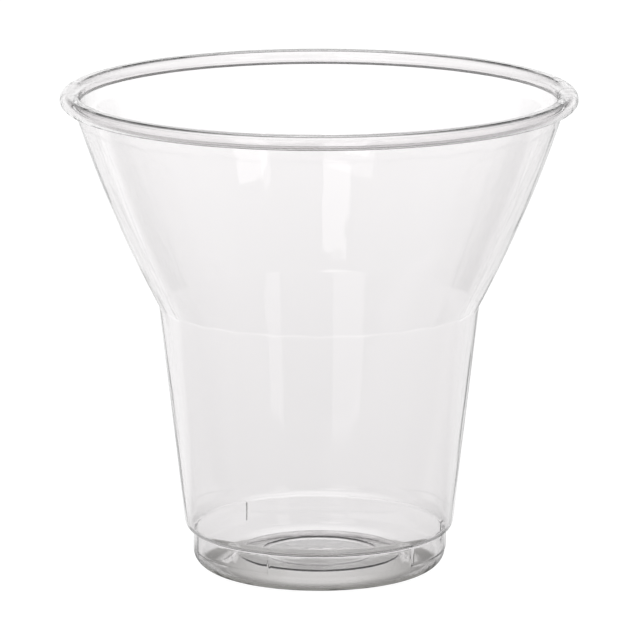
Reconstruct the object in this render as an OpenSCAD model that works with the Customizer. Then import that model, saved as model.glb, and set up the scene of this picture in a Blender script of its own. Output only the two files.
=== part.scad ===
// Clear plastic sundae cup, formed in one piece from thin sheet.
// A tapered body stands on a stacking ring, a panelled flare opens above the shoulder,
// and the edge of the sheet is rolled into a hollow rim. The origin is under the middle
// of the foot, +Z is up, and all lengths are millimetres.

/* [Overall] */
// Outer diameter of the rolled rim
rim_d = 98; // [96:0.5:100]
// Height from the table to the top of the rim
cup_h = 92.2; // [91:0.5:98]
// Thickness of the sheet in the walls
wall = 0.45; // [0.35:0.05:0.6]

/* [Rolled rim] */
// Width of the roll, from the inside of the cup to the outside
roll_w = 3.8; // [3.4:0.1:4.4]
// Height of the roll
roll_h = 2.8; // [2.4:0.1:3.4]
// Distance between the wall and the edge of the sheet under the roll
roll_gap = 0.6; // [0.4:0.1:0.9]

/* [Flare] */
// Radius of the shoulder, at the ridges between the panels
shoulder_r = 30.45; // [29:0.25:32]
// Height of the shoulder above the table
shoulder_h = 50.9; // [47:0.5:54]
// Height of the plain band below the roll
band_h = 2.6; // [2:0.1:4]
// How far the flare bows outwards from a straight line
flare_bow = 0.8; // [0.4:0.1:1.2]
// Number of panels round the flare
panel_count = 24; // [18:1:30]
// Distance from the cup's axis to the axis that a panel is curved about
panel_shift = 24; // [15:1:35]

/* [Body] */
// Radius of the body at its foot, just above the rounding
body_r = 25.7; // [25.3:0.1:26.5]
// Radius of the rounding between the body and the stacking ring
body_round = 2.2; // [1.6:0.1:2.6]

/* [Stacking ring] */
// How far the body steps in to the ring
ledge_w = 1.65; // [1.3:0.05:2.1]
// Height of the ring, from the table to the body
ring_h = 7.35; // [6.6:0.05:8.4]
// Width of the rounding at the bottom of the ring
foot_round_w = 4.4; // [3.6:0.1:4.8]
// Height of the rounding at the bottom of the ring
foot_round_h = 3.5; // [2.8:0.1:4]
// Number of stacking lugs round the ring
lug_count = 3; // [2:1:5]
// Angle that one lug covers
lug_angle = 50; // [35:1:60]
// How far a lug stands out from the ring
lug_step = 0.25; // [0.15:0.05:0.35]
// Angle of the first lug from the front
lug_turn = -48.5; // [-60:0.5:0]

/* [Floor] */
// Width of the flat ring that the cup stands on
foot_flat = 0.5; // [0.3:0.1:0.8]
// Radius of the rounding that turns the foot up into the floor
heel_round = 3; // [2.4:0.1:3.4]
// Width of the channel between the foot and the raised ring of the floor
channel_w = 4.05; // [3.7:0.05:4.6]
// Height of the underside of the raised ring above the table
disc_h = 2.45; // [2.2:0.05:2.8]
// Width of the bank round the raised ring
bank_w = 0.9; // [0.6:0.1:1.2]
// Height of the foot of the bank above the table
bank_h = 1.25; // [1.1:0.05:1.5]
// Width of the raised ring, round the shallow recess in the middle
disc_land = 4.6; // [3:0.1:6]
// Depth of the recess
recess_depth = 0.45; // [0.2:0.05:0.6]

/* [Hidden] */

// How finely round surfaces are drawn
$fn = 180;
// Steps in one rounded corner of an outline
round_steps = 8;
// Angle through which the foot turns up into the floor
heel_angle = 35;

rim_r = rim_d / 2;
roll_r = roll_h / 2;
roll_z = cup_h - roll_r;
band_r = rim_r - roll_w + wall;
band_z = cup_h - roll_h - band_h;

// The body steps in to the stacking ring, and the foot, the raised ring and the recess
// lie inside one another
ring_r = body_r - ledge_w;
contact_r = ring_r - foot_round_w;
disc_r = contact_r - channel_w;
recess_r = disc_r - disc_land;

// The body tapers from its foot to the shoulder
body_z = ring_h + body_round;
body_tilt = atan2(shoulder_r - body_r, shoulder_h - body_z);

// The chord of the flare, and the large arc that bows out from it
flare_chord = [band_r - shoulder_r, band_z - shoulder_h];
flare_length = norm(flare_chord);
flare_arc_r = (pow(flare_length / 2, 2) + pow(flare_bow, 2)) / (2 * flare_bow);
flare_out = [flare_chord[1], -flare_chord[0]] / flare_length;
flare_centre = [shoulder_r, shoulder_h] + flare_chord / 2 - flare_out * (flare_arc_r - flare_bow);

// A panel is turned about an axis that lies panel_shift behind the cup's own. A ridge that
// is shoulder_r from the cup's axis is this much further from the panel's axis.
half_panel = 180 / panel_count;
ridge_r = norm([shoulder_r * cos(half_panel) + panel_shift, shoulder_r * sin(half_panel)]);
ridge_shift = ridge_r - shoulder_r;

// Points along an arc of an ellipse, from angle a0 to angle a1
function arc(centre, rx, ry, a0, a1) =
    [for (i = [0 : round_steps])
        let (a = a0 + (a1 - a0) * i / round_steps)
        centre + [rx * cos(a), ry * sin(a)]];

// Direction of travel from one point to the next
function heading(from, to) = atan2(to[1] - from[1], to[0] - from[0]);

// The same path moved to its left by a distance: upwards in the floor, inwards in a wall
function moved_in(path, distance) =
    [for (i = [0 : len(path) - 1])
        let (
            last = len(path) - 1,
            before = heading(path[max(i - 1, 0)], path[max(i, 1)]),
            after = heading(path[min(i, last - 1)], path[min(i + 1, last)]),
            middle = (before + after) / 2,
            side = distance / cos((after - before) / 2)
        )
        path[i] + side * [-sin(middle), cos(middle)]];

cup();

// The whole cup: the outer form less the inner form, with the roll on its top edge
module cup() {
    color("aliceblue", 0.4) {
        difference() {
            cup_form(0);
            cup_form(wall);
        }
        rolled_rim();
    }
}

// The cup as a solid form, with its whole surface moved in by inset
module cup_form(inset) {
    flare_form(inset);
    rotate_extrude() body_outline(inset);
    rotate_extrude() ring_outline(inset);
    stacking_lugs(inset);
}

// The flare: panels all round, cut off by the plain band under the roll
module flare_form(inset) {
    intersection() {
        panels(inset);
        translate([0, 0, shoulder_h - body_round])
            cylinder(r = band_r - inset, h = roll_z + inset - shoulder_h + body_round);
    }
}

// Each panel is turned about its own axis on the far side of the cup, so it is flatter
// than the cup is round, and the panels meet in faint ridges
module panels(inset) {
    intersection_for (i = [0 : panel_count - 1])
        rotate((i + 0.5) * 360 / panel_count)
            translate([-panel_shift, 0, 0]) rotate_extrude() flare_outline(inset);
}

// Half of the flare's section, about the axis of one panel
module flare_outline(inset) {
    intersection() {
        translate([0, shoulder_h - 2 * body_round])
            square([rim_r + panel_shift, cup_h - shoulder_h + 2 * body_round]);
        translate(flare_centre + [ridge_shift, 0]) circle(r = flare_arc_r - inset, $fn = 720);
    }
}

// Half of the body's section, with the rounding over the stacking ring
module body_outline(inset) {
    top_z = shoulder_h + body_round;
    top_r = body_r + (top_z - body_z) * tan(body_tilt);
    round_centre = [body_r - body_round / cos(body_tilt), body_z];
    outside = concat(
        [[0, ring_h]],
        arc(round_centre, body_round, body_round, -90, -body_tilt),
        [[top_r, top_z]]);
    polygon(concat(moved_in(outside, inset), [[0, top_z]]));
}

// Half of the section of the stacking ring and the floor, up to the middle of the rounding
module ring_outline(inset) {
    recess_h = disc_h - recess_depth;
    foot = concat(
        arc([contact_r - foot_flat, heel_round], heel_round, heel_round, -90 - heel_angle, -90),
        arc([contact_r, foot_round_h], foot_round_w, foot_round_h, -90, 0));
    outside = concat(
        [[0, recess_h], [recess_r - recess_depth, recess_h], [recess_r, disc_h]],
        [[disc_r, disc_h], [disc_r + bank_w, bank_h]],
        foot,
        [[ring_r, body_z]]);
    polygon(concat(moved_in(outside, inset), [[0, body_z]]));
}

// Stretches of the ring that stand out, on which a cup rests inside the next one in a stack
module stacking_lugs(inset) {
    side_angle = asin(inset / ring_r);
    lug_r = ring_r + lug_step;
    outside = [
        [contact_r, foot_round_h - 2 * lug_step],
        [ring_r, foot_round_h - 2 * lug_step],
        [lug_r, foot_round_h],
        [lug_r, body_z - wall]];
    for (i = [0 : lug_count - 1])
        rotate(lug_turn - 90 + i * 360 / lug_count - lug_angle / 2 + side_angle)
            rotate_extrude(angle = lug_angle - 2 * side_angle)
                polygon(concat(moved_in(outside, inset), [[contact_r, body_z - wall]]));
}

// The edge of the sheet, rolled outwards and down until it nearly meets the wall again
module rolled_rim() {
    rotate_extrude() difference() {
        roll_outline(0);
        roll_outline(wall);
        translate([band_r - 2 * wall, roll_z - roll_h])
            square([2 * wall + roll_gap, roll_h]);
    }
}

// The section of the roll: two round sides with a flat between them
module roll_outline(inset) {
    inner_r = rim_r - roll_w + roll_r;
    outer_r = rim_r - roll_r;
    translate([inner_r, roll_z]) circle(r = roll_r - inset);
    translate([outer_r, roll_z]) circle(r = roll_r - inset);
    translate([inner_r, roll_z - roll_r + inset])
        square([outer_r - inner_r, roll_h - 2 * inset]);
}
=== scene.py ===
"""Dresses the clear sundae cup: its formed sheet, its plastic and the pale studio round it."""

import logging
import math
from collections.abc import Callable
from dataclasses import dataclass
from enum import Enum
from typing import Any

import bpy
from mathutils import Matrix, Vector


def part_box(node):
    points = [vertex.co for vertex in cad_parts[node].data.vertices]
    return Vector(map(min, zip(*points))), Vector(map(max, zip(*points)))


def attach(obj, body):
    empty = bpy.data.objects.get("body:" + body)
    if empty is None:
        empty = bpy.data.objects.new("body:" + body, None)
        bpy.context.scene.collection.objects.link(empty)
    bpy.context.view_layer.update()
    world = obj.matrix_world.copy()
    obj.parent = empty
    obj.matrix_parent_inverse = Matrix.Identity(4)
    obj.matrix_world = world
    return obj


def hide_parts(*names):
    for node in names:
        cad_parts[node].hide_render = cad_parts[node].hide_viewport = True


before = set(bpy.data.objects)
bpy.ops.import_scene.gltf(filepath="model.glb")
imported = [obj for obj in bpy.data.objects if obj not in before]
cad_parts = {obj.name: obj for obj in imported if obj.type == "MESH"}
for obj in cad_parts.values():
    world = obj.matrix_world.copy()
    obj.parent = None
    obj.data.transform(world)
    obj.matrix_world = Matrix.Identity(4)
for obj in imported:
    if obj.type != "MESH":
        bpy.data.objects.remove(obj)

MM = 0.001
IMAGE_SIDE_PX = 640
SENSOR_MM = 36.0
CUP_NODE = "cup"
ROOT_BODY = "root"
WHITE = (1.0, 1.0, 1.0, 1.0)
# Halvings that close in on a height, in the search for where two outlines cross
HALVINGS = 40
# Glossy depths above which a ray has been mirrored, and has been caught in the sheet
MIRRORED_DEPTH = 0.5
CAUGHT_DEPTH = 2.5

Point = tuple[float, float]
Point3 = tuple[float, float, float]
Path = list[Point]
# A ramp's positions and grey levels
Stops = tuple[tuple[float, float], ...]
# A soft step: where it begins and ends, and the levels before and after it
Step = tuple[float, float, float, float]
# Rows of a mesh: the gaps left free at both ends, and the number of rows
Rows = tuple[float, float, int]

log = logging.getLogger("cup")


class Coords(Enum):
    """Texture coordinates that a finish may be laid out in."""

    OBJECT = "Object"
    GENERATED = "Generated"


class Ray(Enum):
    """Outputs of the Light Path node that tell one kind of ray from another."""

    CAMERA = "Is Camera Ray"
    GLOSSY = "Is Glossy Ray"
    TRANSMISSION = "Is Transmission Ray"
    GLOSSY_DEPTH = "Glossy Depth"


@dataclass(frozen=True)
class Wire:
    """A shader socket that can be used in sums and products, each of which adds a node."""

    tree: bpy.types.NodeTree
    socket: bpy.types.NodeSocket

    def _math(self, operation: str, first: Any, second: Any) -> "Wire":
        """Adds one Math node.

        Args:
            operation: The Math node's operation.
            first: Its first value, a number or a wire.
            second: Its second value, a number or a wire.

        Returns:
            The node's result.
        """
        return add_node(
            self.tree, "ShaderNodeMath", {"operation": operation}, {0: first, 1: second}
        )

    def __add__(self, other: Any) -> "Wire":
        """self + other."""
        return self._math("ADD", self, other)

    def __radd__(self, other: Any) -> "Wire":
        """other + self."""
        return self._math("ADD", other, self)

    def __sub__(self, other: Any) -> "Wire":
        """self - other."""
        return self._math("SUBTRACT", self, other)

    def __rsub__(self, other: Any) -> "Wire":
        """other - self."""
        return self._math("SUBTRACT", other, self)

    def __mul__(self, other: Any) -> "Wire":
        """self * other."""
        return self._math("MULTIPLY", self, other)

    def __rmul__(self, other: Any) -> "Wire":
        """other * self."""
        return self._math("MULTIPLY", other, self)

    def __truediv__(self, other: Any) -> "Wire":
        """self / other."""
        return self._math("DIVIDE", self, other)

    def at_most(self, other: Any) -> "Wire":
        """The smaller of self and other."""
        return self._math("MINIMUM", self, other)

    def at_least(self, other: Any) -> "Wire":
        """The larger of self and other."""
        return self._math("MAXIMUM", self, other)

    def above(self, other: Any) -> "Wire":
        """1 where self is greater than other, and 0 elsewhere."""
        return self._math("GREATER_THAN", self, other)


def add_node(
    tree: bpy.types.NodeTree,
    kind: str,
    settings: dict[str, Any] | None = None,
    inputs: dict[Any, Any] | None = None,
    output: Any = 0,
) -> Wire:
    """Adds a node, sets it up and links it.

    Args:
        tree: The node tree that gets the node.
        kind: The node's type.
        settings: The node's own settings. "stops" sets a ramp's positions and colours.
        inputs: Values or wires for its sockets, by name or number.
        output: The name or number of the output to return.

    Returns:
        The chosen output as a wire.
    """
    node = tree.nodes.new(kind)
    for name, value in (settings or {}).items():
        if name == "stops":
            _set_stops(node.color_ramp, value)
        else:
            setattr(node, name, value)
    for name, value in (inputs or {}).items():
        if isinstance(value, Wire):
            tree.links.new(value.socket, node.inputs[name])
        else:
            node.inputs[name].default_value = value
    return Wire(tree, node.outputs[output])


def ease(value: Wire, low: float, high: float, start: float, end: float) -> Wire:
    """A soft step from one level to another as a value rises.

    Args:
        value: The value that rises.
        low: Where the step begins.
        high: Where the step ends.
        start: The level up to low.
        end: The level from high on.

    Returns:
        The level.
    """
    return add_node(
        value.tree, "ShaderNodeMapRange", {"interpolation_type": "SMOOTHSTEP"},
        {"Value": value, "From Min": low, "From Max": high, "To Min": start, "To Max": end},
    )


def _set_stops(ramp: bpy.types.ColorRamp, stops: Stops) -> None:
    """Gives a colour ramp its grey stops.

    Args:
        ramp: The ramp to fill.
        stops: Pairs of a position and a grey level, in rising order.
    """
    while len(ramp.elements) > 1:
        ramp.elements.remove(ramp.elements[-1])
    for i, (position, level) in enumerate(stops):
        stop = ramp.elements[0] if i == 0 else ramp.elements.new(position)
        stop.position = position
        stop.color = (level, level, level, 1.0)


def light_path(tree: bpy.types.NodeTree, ray: Ray) -> Wire:
    """What the Light Path node says of a ray."""
    return add_node(tree, "ShaderNodeLightPath", output=ray.value)


def coordinates(tree: bpy.types.NodeTree, kind: Coords) -> Wire:
    """Texture coordinates of one kind."""
    return add_node(tree, "ShaderNodeTexCoord", output=kind.value)


def along(place: Wire, axis: str) -> Wire:
    """One coordinate of a place or a direction."""
    return add_node(place.tree, "ShaderNodeSeparateXYZ", inputs={0: place}, output=axis)


def length_of(place: Wire) -> Wire:
    """Distance of a place from the origin."""
    return add_node(
        place.tree, "ShaderNodeVectorMath", {"operation": "LENGTH"}, {0: place}, output="Value"
    )


def scaled(place: Wire, scale: Point3) -> Wire:
    """A place with each of its coordinates scaled."""
    return add_node(place.tree, "ShaderNodeMapping", inputs={"Vector": place, "Scale": scale})


def noise(place: Wire, scale: float, detail: float) -> Wire:
    """Soft random values all over a place."""
    return add_node(
        place.tree, "ShaderNodeTexNoise", inputs={"Vector": place, "Scale": scale, "Detail": detail}
    )


def ramp_level(value: Wire, stops: Stops) -> Wire:
    """The grey level that a ramp gives a value from 0 to 1."""
    return add_node(
        value.tree, "ShaderNodeValToRGB", {"stops": stops}, {"Fac": value}, output="Color"
    )


def blend(factor: Wire, first: Any, second: Any) -> Wire:
    """Blends two colours.

    Args:
        factor: 0 for the first colour, 1 for the second.
        first: A colour or a wire.
        second: A colour or a wire.

    Returns:
        The blended colour.
    """
    return add_node(
        factor.tree, "ShaderNodeMix", {"data_type": "RGBA"},
        {"Factor": factor, "A": first, "B": second}, output="Result",
    )


def smooth_step(value: float, low: float, high: float) -> float:
    """A soft step from 0 at low to 1 at high."""
    t = min(max((value - low) / (high - low), 0.0), 1.0)
    return t * t * (3.0 - 2.0 * t)


def soft_larger(a: float, b: float, width: float) -> float:
    """The larger of a and b, rounded where they cross."""
    return (a + b + math.hypot(a - b, width)) / 2


def soft_smaller(a: float, b: float, width: float) -> float:
    """The smaller of a and b, rounded where they cross."""
    return (a + b - math.hypot(a - b, width)) / 2


def arc(centre: Point, rx: float, ry: float, start: float, end: float, steps: int) -> Path:
    """Points along an arc of an ellipse.

    Args:
        centre: The ellipse's centre.
        rx: Its radius along the first axis.
        ry: Its radius along the second axis.
        start: The angle of the first point, in degrees.
        end: The angle of the last point, in degrees.
        steps: How many steps the arc takes.

    Returns:
        The points, with both ends.
    """
    turns = [math.radians(start + (end - start) * i / steps) for i in range(steps + 1)]
    return [(centre[0] + rx * math.cos(a), centre[1] + ry * math.sin(a)) for a in turns]


def rounded(corners: list[Point3], steps: int) -> Path:
    """Rounds the corners of an open outline.

    Args:
        corners: Points with the radius of each corner. The two ends have none.
        steps: How many steps each rounded corner takes.

    Returns:
        The outline with arcs in its corners.
    """
    path: Path = [corners[0][:2]]
    for before, here, after in zip(corners, corners[1:], corners[2:]):
        corner = Vector(here[:2])
        back = (Vector(before[:2]) - corner).normalized()
        on = (Vector(after[:2]) - corner).normalized()
        half = back.angle(on) / 2
        reach = here[2] / math.tan(half)
        centre = corner + (back + on).normalized() * here[2] / math.sin(half)
        first = corner + back * reach - centre
        turn = first.angle_signed(corner + on * reach - centre)
        for i in range(steps + 1):
            a = -turn * i / steps
            spoke = Vector((
                first.x * math.cos(a) - first.y * math.sin(a),
                first.x * math.sin(a) + first.y * math.cos(a),
            ))
            path.append(tuple(centre + spoke))
    path.append(corners[-1][:2])
    return path


def spread(start: float, end: float, count: int, crowd: float = 0.0) -> list[float]:
    """Values from start to end, closer together near both ends.

    Args:
        start: The first value.
        end: The last value.
        count: How many values there are.
        crowd: 0 for even steps, up to 1 for steps that shrink most towards the ends.

    Returns:
        The values.
    """
    values = []
    for i in range(count):
        t = i / (count - 1)
        eased = (1 - math.cos(math.pi * t)) / 2
        values.append(start + (end - start) * (t + (eased - t) * crowd))
    return values


def rows_between(low: float, high: float, rows: Rows) -> list[float]:
    """Even heights between two others."""
    return spread(low + rows[0], high - rows[1], rows[2])


@dataclass
class FormedSheet:
    """The cup's one formed sheet, with the sizes of the CAD model.

    Sizes are in millimetres and angles in degrees. Those from columns_per_panel on are
    the mesh's own: how finely it is divided, and how its corners are rounded.
    """

    rim_r: float
    height: float
    wall: float = 0.45
    roll_w: float = 3.8
    roll_h: float = 2.8
    roll_gap: float = 0.6
    shoulder_r: float = 30.45
    shoulder_h: float = 50.9
    band_h: float = 2.6
    flare_bow: float = 0.8
    panel_count: int = 24
    panel_shift: float = 24.0
    body_r: float = 25.7
    body_round: float = 2.2
    ring_r: float = 24.05
    ring_h: float = 7.35
    foot_round_w: float = 4.4
    foot_round_h: float = 3.5
    foot_flat: float = 0.5
    heel_round: float = 3.0
    heel_angle: float = 35.0
    lug_count: int = 3
    lug_angle: float = 50.0
    lug_step: float = 0.25
    lug_turn: float = -48.5
    disc_r: float = 15.6
    disc_h: float = 2.45
    bank_w: float = 0.9
    bank_h: float = 1.25
    recess_r: float = 11.0
    recess_depth: float = 0.45
    columns_per_panel: int = 10
    edge_round: float = 0.15
    shoulder_blend: float = 0.04
    band_blend: float = 0.08
    neck_blend: float = 0.12
    neck_point: Point = (0.03, 0.02)
    recess_floor_round: float = 0.9
    recess_edge_round: float = 0.5
    disc_edge_round: float = 0.35
    bank_foot_round: float = 0.6
    lug_side: float = 0.5
    lug_side_columns: tuple[float, ...] = (-0.5, -0.17, 0.17, 0.5)
    lug_rise: Point = (0.2, 0.7)
    recess_rows: int = 7
    ring_rows: Rows = (0.3, 0.1, 9)
    ring_crowd: float = 0.6
    body_rows: Rows = (0.6, 0.5, 26)
    shoulder_rows: tuple[float, ...] = (-0.3, -0.15, 0.0, 0.15, 0.3)
    flare_rows: Rows = (0.6, 0.9, 40)
    band_edge_rows: tuple[float, ...] = (-0.6, -0.3, 0.0, 0.3, 0.6)
    band_rows: Rows = (1.1, 0.3, 5)
    under_rows: int = 5
    corner_steps: int = 5
    heel_steps: int = 6
    foot_steps: int = 12
    neck_steps: int = 12
    roll_steps: int = 8
    search: float = 5.0

    def __post_init__(self) -> None:
        """Works out the sizes that follow from the others."""
        self.roll_r = self.roll_h / 2
        self.roll_z = self.height - self.roll_r
        self.band_r = self.rim_r - self.roll_w + self.wall
        self.band_z = self.height - self.roll_h - self.band_h
        self.contact_r = self.ring_r - self.foot_round_w
        self.body_z = self.ring_h + self.body_round
        self.body_slope = (self.shoulder_r - self.body_r) / (self.shoulder_h - self.body_z)
        self.half_panel = 180.0 / self.panel_count
        chord = Vector((self.band_r - self.shoulder_r, self.band_z - self.shoulder_h))
        bow = self.flare_bow
        self.arc_r = ((chord.length / 2) ** 2 + bow**2) / (2 * bow)
        out = Vector((chord.y, -chord.x)).normalized()
        shoulder = Vector((self.shoulder_r, self.shoulder_h))
        self.arc_centre = shoulder + chord / 2 - out * (self.arc_r - bow)
        ridge = math.radians(self.half_panel)
        along = self.shoulder_r * math.cos(ridge) + self.panel_shift
        self.ridge_shift = math.hypot(along, self.shoulder_r * math.sin(ridge)) - self.shoulder_r

    def body_radius(self, z: float) -> float:
        """Outer radius of the tapered body at a height."""
        return self.body_r + (z - self.body_z) * self.body_slope

    def flare_radius(self, z: float, angle: float) -> float:
        """Outer radius of the panelled flare.

        Args:
            z: The height.
            angle: The angle round the cup from the front.

        Returns:
            The radius, which is largest at the ridges between the panels.
        """
        pitch = 2 * self.half_panel
        off = math.radians((angle % pitch) - self.half_panel)
        rise = z - self.arc_centre.y
        shifted = self.arc_centre.x + self.ridge_shift + math.sqrt(self.arc_r**2 - rise**2)
        across = self.panel_shift * math.sin(off)
        return math.sqrt(shifted**2 - across**2) - self.panel_shift * math.cos(off)

    def crossing(self, lower: float, upper: float, gap: Callable[[float], float]) -> float:
        """Finds the height at which a gap that grows with height is nothing.

        Args:
            lower: A height where the gap is negative.
            upper: A height where the gap is positive.
            gap: The gap as a function of height.

        Returns:
            The height between them where the gap closes.
        """
        for _ in range(HALVINGS):
            middle = (lower + upper) / 2
            if gap(middle) < 0:
                lower = middle
            else:
                upper = middle
        return (lower + upper) / 2

    def lug_share(self, angle: float) -> float:
        """How far the ring stands out as a stacking lug.

        Args:
            angle: The angle round the cup from the front.

        Returns:
            1 on a lug, 0 between the lugs, and a short ramp at their sides.
        """
        pitch = 360.0 / self.lug_count
        off = abs((angle - self.lug_turn + pitch / 2) % pitch - pitch / 2)
        side = self.lug_angle / 2
        return 1.0 - smooth_step(off, side - self.lug_side, side + self.lug_side)

    def floor_path(self) -> Path:
        """Underside of the floor and the foot.

        Returns:
            The outline from near the axis out to the ring's wall.
        """
        recess_h = self.disc_h - self.recess_depth
        heel_arc = arc(
            (self.contact_r - self.foot_flat, self.heel_round),
            self.heel_round, self.heel_round, -90 - self.heel_angle, -90, self.heel_steps,
        )
        middle = rounded(
            [
                (0.0, recess_h, 0.0),
                (self.recess_r - self.recess_depth, recess_h, self.recess_floor_round),
                (self.recess_r, self.disc_h, self.recess_edge_round),
                (self.disc_r, self.disc_h, self.disc_edge_round),
                (self.disc_r + self.bank_w, self.bank_h, self.bank_foot_round),
                (heel_arc[0][0], heel_arc[0][1], 0.0),
            ],
            self.corner_steps,
        )
        start = middle[1][0]
        recess = [(r, recess_h) for r in spread(0.0, start, self.recess_rows)[1:-1]]
        foot = arc(
            (self.contact_r, self.foot_round_h),
            self.foot_round_w, self.foot_round_h, -90, 0, self.foot_steps,
        )
        return recess + middle[1:-1] + heel_arc + foot

    def ring_path(self, angle: float) -> Path:
        """Wall of the stacking ring and the rounding above it.

        Args:
            angle: The angle round the cup from the front.

        Returns:
            The outline from the foot up to the body.
        """
        step = self.lug_step * self.lug_share(angle)
        centre_r = self.body_r - self.body_round * math.hypot(1.0, self.body_slope)
        ring_r = self.ring_r + step
        reach = ring_r + self.neck_blend - centre_r
        start = math.degrees(math.acos(reach / self.body_round))
        tilt = math.degrees(math.atan(self.body_slope))
        over = arc(
            (centre_r, self.body_z),
            self.body_round, self.body_round, -start, -tilt, self.neck_steps,
        )
        corner_z = over[0][1] - self.neck_blend
        below, above, count = self.ring_rows
        low, high = self.lug_rise
        wall = []
        for z in spread(self.foot_round_h + below, corner_z - above, count, self.ring_crowd):
            rise = smooth_step(z, self.foot_round_h - low, self.foot_round_h + high)
            wall.append((self.ring_r + step * rise, z))
        neck = (ring_r + self.neck_point[0], corner_z + self.neck_point[1])
        return wall + [neck] + over

    def wall_path(self, angle: float) -> Path:
        """Body, flare and plain band.

        Args:
            angle: The angle round the cup from the front.

        Returns:
            The outline from the rounding over the ring up to the roll.
        """
        shoulder = self.crossing(
            self.shoulder_h - self.search, self.shoulder_h + self.search,
            lambda z: self.flare_radius(z, angle) - self.body_radius(z),
        )
        band = self.crossing(
            self.band_z - self.search, self.band_z + self.search,
            lambda z: self.flare_radius(z, angle) - self.band_r,
        )
        rows = rows_between(self.body_z, shoulder, self.body_rows)
        rows += [shoulder + d for d in self.shoulder_rows]
        rows += rows_between(shoulder, band, self.flare_rows)
        rows += [band + d for d in self.band_edge_rows]
        rows += rows_between(band, self.roll_z, self.band_rows)
        path = []
        for z in rows:
            radius = soft_larger(
                self.body_radius(z), self.flare_radius(z, angle), self.shoulder_blend
            )
            path.append((soft_smaller(radius, self.band_r, self.band_blend), z))
        return path

    def roll_path(self) -> Path:
        """Inside of the hollow roll.

        Returns:
            The outline from the top of the band round to the sheet's cut edge.
        """
        inner = (self.rim_r - self.roll_w + self.roll_r, self.roll_z)
        outer = (self.rim_r - self.roll_r, self.roll_z)
        hollow = self.roll_r - self.wall
        edge_r = self.band_r + self.roll_gap
        under = self.roll_z - hollow
        path = arc(inner, hollow, hollow, 180, 90, self.roll_steps)
        path += arc(outer, hollow, hollow, 90, -90, 2 * self.roll_steps)
        path += [(r, under) for r in spread(outer[0], edge_r, self.under_rows)[1:]]
        return path

    def cut_edge(self) -> Point:
        """Radius of the sheet's cut edge under the roll, and the height of its upper corner."""
        return self.band_r + self.roll_gap, self.roll_z - self.roll_r + self.wall

    def outside(self, angle: float) -> Path:
        """The whole outer side of the sheet at an angle round the cup."""
        path = self.floor_path() + self.ring_path(angle)
        return path + self.wall_path(angle) + self.roll_path()

    def inside(self, outside: Path) -> Path:
        """The inner side of the sheet, one wall to the left of the outer side.

        Args:
            outside: The outer side, from the axis to the sheet's edge.

        Returns:
            A path with one point for each point of the outer side.
        """
        path = []
        last = len(outside) - 1
        for i, (r, z) in enumerate(outside):
            before, after = outside[max(i - 1, 0)], outside[min(i + 1, last)]
            dr, dz = after[0] - before[0], after[1] - before[1]
            length = math.hypot(dr, dz)
            path.append((r - dz / length * self.wall, z + dr / length * self.wall))
        return path

    def column_angles(self) -> list[float]:
        """Angles of the mesh's columns.

        Returns:
            Even angles, and extra ones at the sides of the lugs.
        """
        count = self.panel_count * self.columns_per_panel
        angles = {round(i * 360.0 / count, 4) for i in range(count)}
        for lug in range(self.lug_count):
            centre = self.lug_turn + lug * 360.0 / self.lug_count
            for side in (-1, 1):
                for step in self.lug_side_columns:
                    edge = centre + side * self.lug_angle / 2 + step
                    angles.add(round(edge % 360.0, 4))
        return sorted(angles)

    def build(self) -> bpy.types.Object:
        """Builds the sheet as one closed mesh.

        Returns:
            The cup's object, in metres and in the frame's place.
        """
        angles = self.column_angles()
        verts: list[Point3] = []
        for angle in angles:
            outside = self.outside(angle)
            inside = self.inside(outside)
            cut = (
                (outside[-1][0] + inside[-1][0]) / 2 - self.edge_round,
                (outside[-1][1] + inside[-1][1]) / 2,
            )
            loop = outside + [cut] + inside[::-1]
            turn = math.radians(angle)
            for r, z in loop:
                verts.append((r * math.sin(turn) * MM, -r * math.cos(turn) * MM, z * MM))
        rows = len(verts) // len(angles)
        faces: list[tuple[int, ...]] = []
        for i in range(len(angles)):
            here, there = i * rows, (i + 1) % len(angles) * rows
            for j in range(rows - 1):
                faces.append((here + j, there + j, there + j + 1, here + j + 1))
        recess_h = self.disc_h - self.recess_depth
        for row, z in ((0, recess_h), (rows - 1, recess_h + self.wall)):
            centre = len(verts)
            verts.append((0.0, 0.0, z * MM))
            for i in range(len(angles)):
                a, b = i * rows + row, (i + 1) % len(angles) * rows + row
                faces.append((centre, b, a) if row == 0 else (centre, a, b))
        mesh = bpy.data.meshes.new("cup_sheet")
        mesh.from_pydata(verts, [], faces)
        mesh.validate()
        mesh.shade_smooth()
        cup = bpy.data.objects.new("cup_sheet", mesh)
        bpy.context.scene.collection.objects.link(cup)
        return cup


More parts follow.
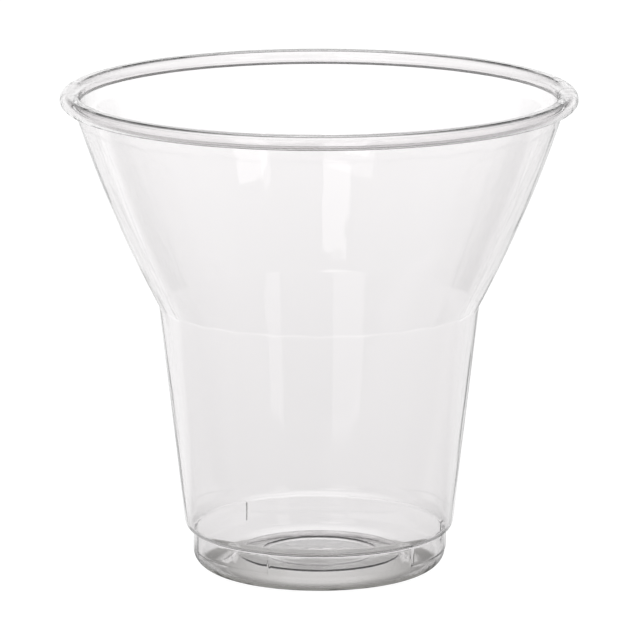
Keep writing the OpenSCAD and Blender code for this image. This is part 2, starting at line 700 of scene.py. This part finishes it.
@dataclass(frozen=True)
class ClearPlastic:
    """Clear thin plastic with the faint flow marks and haze of a formed sheet.

    Lengths are in metres. The sheet's cut edge, under the roll, is matt and painted grey, standing
    in for the dim lines that light makes in the clear roll.
    """

    cut_r: float
    cut_z: float
    # Painted light and shade: the cut edge's grey stands in for the dim lines that light makes in
    # the clear roll
    cut_painted_grey: float = 0.55
    cut_depth: float = 0.00025
    cut_depth_blend: float = 0.00005
    cut_front_blend: float = 0.00008
    cut_top_blend: float = 0.0001
    tint: Point3 = (0.985, 0.975, 0.978)
    hazy_tint: Point3 = (0.975, 0.965, 0.968)
    haze_on_tint: float = 0.5
    haze_scale: float = 45.0
    haze_detail: float = 3.0
    smooth: float = 0.015
    hazy: float = 0.05
    index: float = 1.57
    ripple: float = 0.00006
    flow_stretch: Point3 = (1.0, 1.0, 0.18)
    flow_scale: float = 160.0
    flow_detail: float = 2.0
    wave_stretch: Point3 = (0.2, 0.2, 1.0)
    wave_scale: float = 150.0
    wave_detail: float = 1.0
    wave_rise: Step = (0.048, 0.06, 0.1, 0.9)

    def cut_mask(self, place: Wire, height: Wire) -> Wire:
        """Finds the sheet's cut edge, which gets the matt shader with its painted grey.

        Args:
            place: The cup's own coordinates.
            height: Their height.

        Returns:
            1 on the cut edge and 0 elsewhere.
        """
        radius = length_of(scaled(place, (1.0, 1.0, 0.0)))
        back_r = self.cut_r - self.cut_depth
        beyond = ease(radius, back_r, back_r + self.cut_depth_blend, 0.0, 1.0)
        short_of = ease(radius, self.cut_r, self.cut_r + self.cut_front_blend, 1.0, 0.0)
        below = ease(height, self.cut_z, self.cut_z + self.cut_top_blend, 1.0, 0.0)
        return beyond * short_of * below

    def material(self) -> bpy.types.Material:
        """Makes the material.

        Returns:
            A material of clear plastic.
        """
        made = bpy.data.materials.new("clear_plastic")
        made.use_nodes = True
        tree = made.node_tree
        shader = tree.nodes["Principled BSDF"]
        place = coordinates(tree, Coords.OBJECT)
        height = along(place, "Z")
        # Flow marks run up the sheet, and level waves lie across the flare alone
        flow = noise(scaled(place, self.flow_stretch), self.flow_scale, self.flow_detail)
        waves = noise(scaled(place, self.wave_stretch), self.wave_scale, self.wave_detail)
        bump = add_node(
            tree, "ShaderNodeBump",
            inputs={
                "Strength": 1.0,
                "Distance": self.ripple,
                "Height": flow + waves * ease(height, *self.wave_rise),
            },
            output="Normal",
        )
        haze = noise(place, self.haze_scale, self.haze_detail)
        rough = self.smooth + haze * haze * (self.hazy - self.smooth)
        pale = blend(haze * self.haze_on_tint, (*self.tint, 1.0), (*self.hazy_tint, 1.0))
        tree.links.new(rough.socket, shader.inputs["Roughness"])
        tree.links.new(bump.socket, shader.inputs["Normal"])
        tree.links.new(pale.socket, shader.inputs["Base Color"])
        shader.inputs["IOR"].default_value = self.index
        shader.inputs["Transmission Weight"].default_value = 1.0
        # The cut edge's matt grey is painted light and shade, standing in for the dim lines that
        # light makes in the clear roll
        grey = (self.cut_painted_grey, self.cut_painted_grey, self.cut_painted_grey, 1.0)
        matt = add_node(tree, "ShaderNodeBsdfDiffuse", inputs={"Color": grey})
        finish = add_node(
            tree, "ShaderNodeMixShader",
            inputs={0: self.cut_mask(place, height), 1: Wire(tree, shader.outputs["BSDF"]), 2: matt},
        )
        tree.links.new(finish.socket, tree.nodes["Material Output"].inputs["Surface"])
        return made


@dataclass(frozen=True)
class Lamp:
    """A soft lamp: its place, width and height in millimetres, and its power in watts."""

    name: str
    place: Point3
    size: Point
    power: float


# Each lamp shows in the back wall: the low pair in the body, the others in the flare
LAMPS = (
    Lamp("left_softbox", (-309.0, -738.0, 300.0), (378.0, 600.0), 0.36),
    Lamp("right_softbox", (459.0, -655.0, 300.0), (180.0, 600.0), 0.17),
    Lamp("high_right_softbox", (1113.0, -1280.0, 1060.0), (560.0, 180.0), 0.27),
    Lamp("high_left_softbox", (-376.0, -1654.0, 1060.0), (708.0, 180.0), 0.6),
    Lamp("left_fill", (-342.0, -1506.0, 1273.0), (310.0, 276.0), 0.22),
)


@dataclass(frozen=True)
class PaleFloor:
    """The floor's finish. Lengths are in metres, and levels are shares of white.

    The camera sees it white, with a little of the cup's shadow. Seen straight through the
    cup it has the shadow under the foot, and where the cup mirrors it, it is as dim as a
    table before a light backdrop.
    """

    grey: float = 0.9
    glow: float = 1.12
    glow_share: float = 0.85
    # Level seen straight through the cup: under its axis, its growth by the metre, its limit
    near: float = 0.9
    growth: float = 0.5
    far: float = 1.15
    # The shadow under the foot, out to shadow_reach, and its lighter side at the back
    shadow: Stops = ((0.0, 0.7), (0.3, 0.68), (0.44, 0.58), (0.5, 0.34), (0.57, 0.26), (0.61, 1.0))
    shadow_reach: float = 0.04
    shadow_back: Step = (0.004, 0.02, 0.0, 0.45)
    shadow_tint: Point3 = (1.0, 0.99, 0.93)
    # Mirrored level: from the front of the cup, 0, round to its back, 1
    mirrored_round: Stops = (
        (0.0, 0.3), (0.35, 0.34), (0.6, 0.42), (0.68, 0.48), (0.72, 0.7), (0.85, 1.0)
    )
    mirrored_across: Step = (-0.15, 0.15, 1.22, 0.78)
    mirrored_near: Step = (0.02, 0.028, 0.75, 1.0)
    mirrored_limit: float = 0.97
    caught: float = 0.65

    def material(self) -> bpy.types.Material:
        """Makes the material.

        Returns:
            A pale floor that glows white for the camera.
        """
        made = bpy.data.materials.new("pale_floor")
        made.use_nodes = True
        tree = made.node_tree
        tree.nodes.remove(tree.nodes["Principled BSDF"])
        camera = light_path(tree, Ray.CAMERA)
        depth = light_path(tree, Ray.GLOSSY_DEPTH)
        mirrored = depth.above(MIRRORED_DEPTH)
        place = coordinates(tree, Coords.OBJECT)
        away = length_of(place)
        back = along(place, "Y")
        under = ramp_level(away * (1.0 / self.shadow_reach), self.shadow)
        under = (under + ease(back, *self.shadow_back)).at_most(1.0)
        through = (away * self.growth + self.near).at_most(self.far) * under
        lit = ramp_level(back / away * 0.5 + 0.5, self.mirrored_round)
        lit = lit * ease(along(place, "X"), *self.mirrored_across)
        lit = lit * ease(away, *self.mirrored_near)
        reflected = lit.at_most(self.mirrored_limit)
        reflected = reflected.at_least(depth.above(CAUGHT_DEPTH) * self.caught)
        in_cup = mirrored * reflected + (1.0 - mirrored) * through
        level = camera * self.glow + (1.0 - camera) * in_cup
        colour = blend((1.0 - camera) * (1.0 - under), WHITE, (*self.shadow_tint, 1.0))
        matt = add_node(
            tree, "ShaderNodeBsdfDiffuse", inputs={"Color": (self.grey, self.grey, self.grey, 1.0)}
        )
        glow = add_node(tree, "ShaderNodeEmission", inputs={"Color": colour, "Strength": level})
        glossy = light_path(tree, Ray.GLOSSY)
        crossed = light_path(tree, Ray.TRANSMISSION)
        share = (camera * self.glow_share + glossy + crossed).at_most(1.0)
        floor = add_node(tree, "ShaderNodeMixShader", inputs={0: share, 1: matt, 2: glow})
        tree.links.new(floor.socket, tree.nodes["Material Output"].inputs["Surface"])
        return made


@dataclass(frozen=True)
class Studio:
    """A pale floor, a soft room, the lamps and the camera.

    Lengths are in millimetres, apart from the floor's and the camera's reach in metres.
    The room's levels are shares of white. Only what the cup mirrors is dimmer than white.
    """

    camera_distance: float = 1180.0
    camera_elevation: float = 12.2
    axis_point: float = 45.0
    aim: Point = (0.17, 47.9)
    focal_px: float = 6200.0
    reach_m: float = 100.0
    floor_side_m: float = 60.0
    floor_drop_m: float = 0.00003
    # Mirrored levels: from straight down, 0, to straight up, 1, and from front to back
    ceiling: Stops = ((0.84, 0.0), (0.9, 0.6), (0.94, 1.1), (0.97, 1.6))
    walls: Stops = ((0.12, 0.12), (0.5, 0.38), (0.75, 0.3), (0.95, 0.2))
    backdrop_sides: Step = (0.55, 0.85, 0.0, 1.0)
    backdrop_top: Step = (0.15, 0.3, 1.0, 0.0)
    caught: float = 0.65

    def camera(self) -> None:
        """Places the camera at the photograph's angle."""
        data = bpy.data.cameras.new("camera")
        data.sensor_width = SENSOR_MM
        data.lens = self.focal_px / IMAGE_SIDE_PX * SENSOR_MM
        data.clip_end = self.reach_m
        eye = bpy.data.objects.new("camera", data)
        tilt = math.radians(self.camera_elevation)
        eye.location = (
            0.0,
            -self.camera_distance * math.cos(tilt) * MM,
            (self.axis_point + self.camera_distance * math.sin(tilt)) * MM,
        )
        target = Vector((self.aim[0] * MM, 0.0, self.aim[1] * MM))
        eye.rotation_euler = (target - eye.location).to_track_quat("-Z", "Y").to_euler()
        bpy.context.scene.collection.objects.link(eye)
        bpy.context.scene.camera = eye

    def floor(self) -> None:
        """Lays the pale floor that the cup stands on."""
        half = self.floor_side_m / 2
        corners = [(-half, -half), (half, -half), (half, half), (-half, half)]
        mesh = bpy.data.meshes.new("floor")
        mesh.from_pydata([(x, y, -self.floor_drop_m) for x, y in corners], [], [(0, 1, 2, 3)])
        mesh.materials.append(PaleFloor().material())
        ground = bpy.data.objects.new("floor", mesh)
        bpy.context.scene.collection.objects.link(ground)

    def room(self) -> None:
        """Gives the world its soft light and its white background."""
        world = bpy.data.worlds.new("room")
        bpy.context.scene.world = world
        world.use_nodes = True
        tree = world.node_tree
        direction = coordinates(tree, Coords.GENERATED)
        upwards = along(direction, "Z")
        back = along(direction, "Y")
        ceiling = ramp_level(upwards * 0.5 + 0.5, self.ceiling)
        walls = ramp_level(back * 0.5 + 0.5, self.walls)
        backdrop = ease(back, *self.backdrop_sides) * ease(upwards, *self.backdrop_top)
        depth = light_path(tree, Ray.GLOSSY_DEPTH)
        lit = ceiling.at_least(backdrop).at_least(walls)
        mirrored = lit.at_least(depth.above(CAUGHT_DEPTH) * self.caught)
        seen = blend(depth.above(MIRRORED_DEPTH), WHITE, mirrored)
        white = blend(light_path(tree, Ray.CAMERA), seen, WHITE)
        tree.links.new(white.socket, tree.nodes["Background"].inputs["Color"])

    def hang(self, lamp: Lamp) -> None:
        """Hangs one soft lamp that faces the middle of the cup.

        Args:
            lamp: The lamp to hang.
        """
        data = bpy.data.lights.new(lamp.name, "AREA")
        data.shape = "RECTANGLE"
        data.size, data.size_y = lamp.size[0] * MM, lamp.size[1] * MM
        data.energy = lamp.power
        hung = bpy.data.objects.new(lamp.name, data)
        hung.location = [c * MM for c in lamp.place]
        aim = Vector((0.0, 0.0, self.axis_point * MM)) - hung.location
        hung.rotation_euler = aim.to_track_quat("-Z", "Y").to_euler()
        bpy.context.scene.collection.objects.link(hung)


def main() -> None:
    """Builds the studio and the dressed cup, sized from the CAD part's box."""
    logging.basicConfig(level=logging.INFO, format="%(name)s: %(message)s")
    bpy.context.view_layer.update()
    low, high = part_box(CUP_NODE)
    studio = Studio()
    studio.camera()
    studio.room()
    studio.floor()
    for lamp in LAMPS:
        studio.hang(lamp)
    rim_r = min(high.x, high.y, -low.x, -low.y)
    sheet = FormedSheet(rim_r=rim_r / MM, height=high.z / MM)
    cup = sheet.build()
    cut_r, cut_z = sheet.cut_edge()
    cup.data.materials.append(ClearPlastic(cut_r=cut_r * MM, cut_z=cut_z * MM).material())
    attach(cup, ROOT_BODY)
    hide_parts(CUP_NODE)
    log.info("%s: %d faces", cup.name, len(cup.data.polygons))
    bpy.context.scene.view_settings.view_transform = "Standard"


if __name__ == "__main__":
    main()
